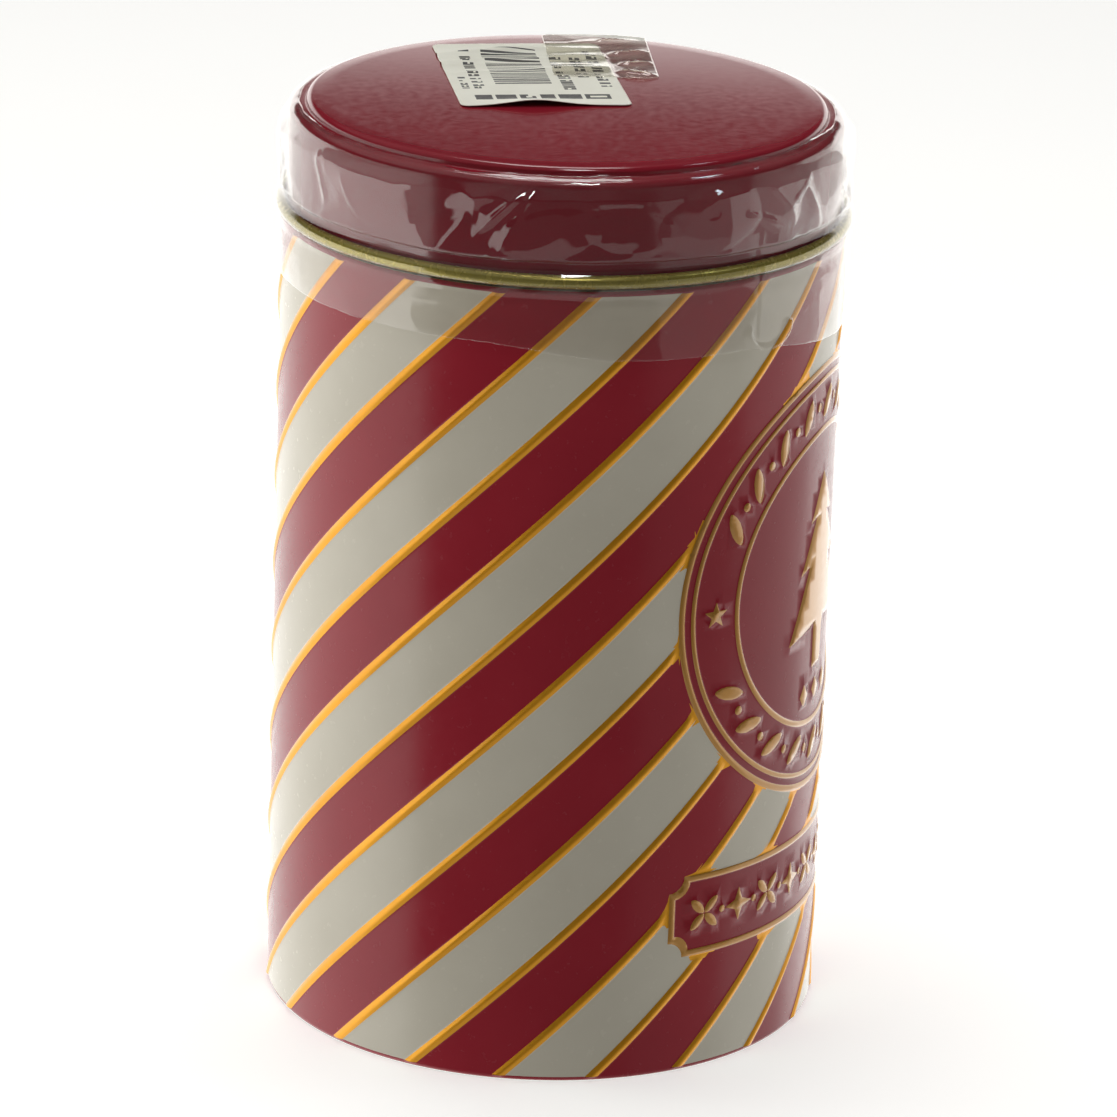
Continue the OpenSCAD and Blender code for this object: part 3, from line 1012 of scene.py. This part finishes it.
def place_camera():
    turn = Matrix.Rotation(AZ, 3, "Z")
    fwd = Vector((math.sin(YAW) * math.cos(PITCH), math.cos(YAW) * math.cos(PITCH), -math.sin(PITCH)))
    right = Vector((math.cos(YAW), -math.sin(YAW), 0))
    up = right.cross(fwd)
    r2 = right * math.cos(ROLL) + up * math.sin(ROLL)
    u2 = -right * math.sin(ROLL) + up * math.cos(ROLL)
    r2, u2, fwd = turn @ r2, turn @ u2, turn @ fwd
    data = bpy.data.cameras.new("photo_camera")
    data.sensor_width = 36.0
    data.lens = FOCAL / 1117 * 36.0
    data.clip_start, data.clip_end = 0.05, 50
    cam = bpy.data.objects.new("photo_camera", data)
    bpy.context.scene.collection.objects.link(cam)
    m = Matrix((r2, u2, -fwd)).transposed().to_4x4()
    m.translation = turn @ Vector((0, -DIST, HEIGHT))
    cam.matrix_world = m
    bpy.context.scene.camera = cam


place_camera()


# ---------------------------------------------------------------- stage and light
def flat_quad(name, corners, mat):
    me = bpy.data.meshes.new(name)
    me.from_pydata(corners, [], [(0, 1, 2, 3)])
    me.update()
    o = bpy.data.objects.new(name, me)
    bpy.context.scene.collection.objects.link(o)
    me.materials.append(mat)
    return o


def light_table():
    """A pale sweep lit from below as well as above, so only a faint contact shade is left."""
    m, nodes, links, bsdf = tree("light_table")
    n = add_noise(nodes, links, 8, 3)
    ramp = add_ramp(nodes, links, n.outputs["Fac"], [(0.3, (0.845, 0.84, 0.81)), (0.7, (0.86, 0.855, 0.825))])
    links.new(ramp.outputs["Color"], bsdf.inputs["Base Color"])
    bsdf.inputs["Roughness"].default_value = 0.9
    bsdf.inputs["Specular IOR Level"].default_value = 0.1
    bsdf.inputs["Emission Color"].default_value = (1, 0.995, 0.985, 1)
    bsdf.inputs["Emission Strength"].default_value = TABLE_GLOW
    return m


TABLE_GLOW = 0.53
floor = flat_quad("floor", [(-3, -3, 0), (3, -3, 0), (3, 3, 0), (-3, 3, 0)], light_table())
floor.visible_diffuse = False
floor.visible_glossy = False


def softbox(name, angle, elev, dist, size, power):
    """Area light aimed at the tin. angle is measured from the camera's side, positive to its right."""
    data = bpy.data.lights.new(name, "AREA")
    data.shape = "RECTANGLE"
    data.size, data.size_y = size
    data.energy = power
    o = bpy.data.objects.new(name, data)
    bpy.context.scene.collection.objects.link(o)
    a = AZ + math.radians(angle)
    e = math.radians(elev)
    aim = Vector((0, 0, 0.06))
    toward = Vector((math.sin(a) * math.cos(e), -math.cos(a) * math.cos(e), math.sin(e)))
    pos = toward * dist + aim
    o.location = pos
    o.rotation_euler = (aim - pos).to_track_quat("-Z", "Y").to_euler()
    o.visible_camera = False
    return o


softbox("top_light", 195, 80, 0.9, (0.40, 0.40), 2.9)
left = softbox("left_light", -100, 35, 0.8, (0.25, 0.4), 0.55)
left.visible_glossy = False
softbox("front_fill", 8, 61, 0.9, (0.13, 0.10), 1.05)
window = softbox("window", 92, 58, 0.9, (0.14, 0.08), 0.35)
window.data.color = (0.75, 0.87, 1.0)


def room():
    """The studio as the tin sees it: bright table at the sides and back, a dark gap towards the
    camera, a bright wall low down behind, a dim room above it and a soft ceiling, brighter left."""
    world = bpy.data.worlds.new("room")
    bpy.context.scene.world = world
    world.use_nodes = True
    nodes, links = world.node_tree.nodes, world.node_tree.links
    nodes.clear()

    def math_node(kind, a, b=None):
        m = nodes.new("ShaderNodeVectorMath")
        m.operation = kind
        links.new(a, m.inputs[0])
        if b is not None:
            m.inputs[1].default_value = b
        return m

    def fade(source, x0, x1, y0, y1, kind="SMOOTHSTEP"):
        r = nodes.new("ShaderNodeMapRange")
        r.interpolation_type = kind
        for key, v in (("From Min", x0), ("From Max", x1), ("To Min", y0), ("To Max", y1)):
            r.inputs[key].default_value = v
        links.new(source, r.inputs["Value"])
        return r.outputs["Result"]

    def blend(f, a, b):
        m = nodes.new("ShaderNodeMix")
        links.new(f, m.inputs[0])
        for k, v in ((2, a), (3, b)):
            if isinstance(v, float):
                m.inputs[k].default_value = v
            else:
                links.new(v, m.inputs[k])
        return m.outputs[0]

    def math_pair(kind, a, b):
        m = nodes.new("ShaderNodeMath")
        m.operation = kind
        links.new(a, m.inputs[0])
        links.new(b, m.inputs[1])
        return m.outputs[0]

    def facing(deg):
        a = AZ + math.radians(deg)
        return math_node("DOT_PRODUCT", flat_dir.outputs[0], (math.sin(a), -math.cos(a), 0)).outputs["Value"]

    coord = nodes.new("ShaderNodeTexCoord")
    direction = coord.outputs["Generated"]
    flat_dir = math_node("NORMALIZE", math_node("MULTIPLY", direction, (1, 1, 0)).outputs[0])
    height = math_node("DOT_PRODUCT", direction, (0, 0, 1)).outputs["Value"]
    # seen from the camera's side: bright to the left of -54 degrees and to the right of +82,
    # and half bright from +38
    left = fade(facing(-144), math.cos(math.radians(91)), math.cos(math.radians(87)), 0, LEFT_WALL)
    right = fade(facing(172), math.cos(math.radians(93)), math.cos(math.radians(87)), 0, RIGHT_WALL)
    half = fade(facing(128), math.cos(math.radians(94)), math.cos(math.radians(86)), LOW_DARK, HALF_WALL)
    low = math_pair("MAXIMUM", math_pair("MAXIMUM", left, right), half)
    near_floor = fade(height, -0.52, -0.46, NEAR_FLOOR, 0)
    low = math_pair("MAXIMUM", low, near_floor)
    high = fade(facing(-100), -1, 1, CEILING[0], CEILING[1], "LINEAR")
    level = blend(fade(height, 0.185, 0.262, 0, 1), low, GAP)
    level = blend(fade(height, 0.42, 0.60, 0, 1), level, high)
    path = nodes.new("ShaderNodeLightPath")
    level = blend(path.outputs["Is Camera Ray"], level, 1.0)
    back = nodes.new("ShaderNodeBackground")
    back.inputs["Color"].default_value = (1.0, 0.985, 0.955, 1)
    links.new(level, back.inputs["Strength"])
    out = nodes.new("ShaderNodeOutputWorld")
    links.new(back.outputs["Background"], out.inputs["Surface"])


LEFT_WALL, RIGHT_WALL, HALF_WALL, LOW_DARK, NEAR_FLOOR = 1.85, 1.15, 0.40, 0.12, 0.6
GAP, CEILING = 0.035, (0.06, 0.32)
room()
bpy.context.scene.view_settings.view_transform = "Standard"
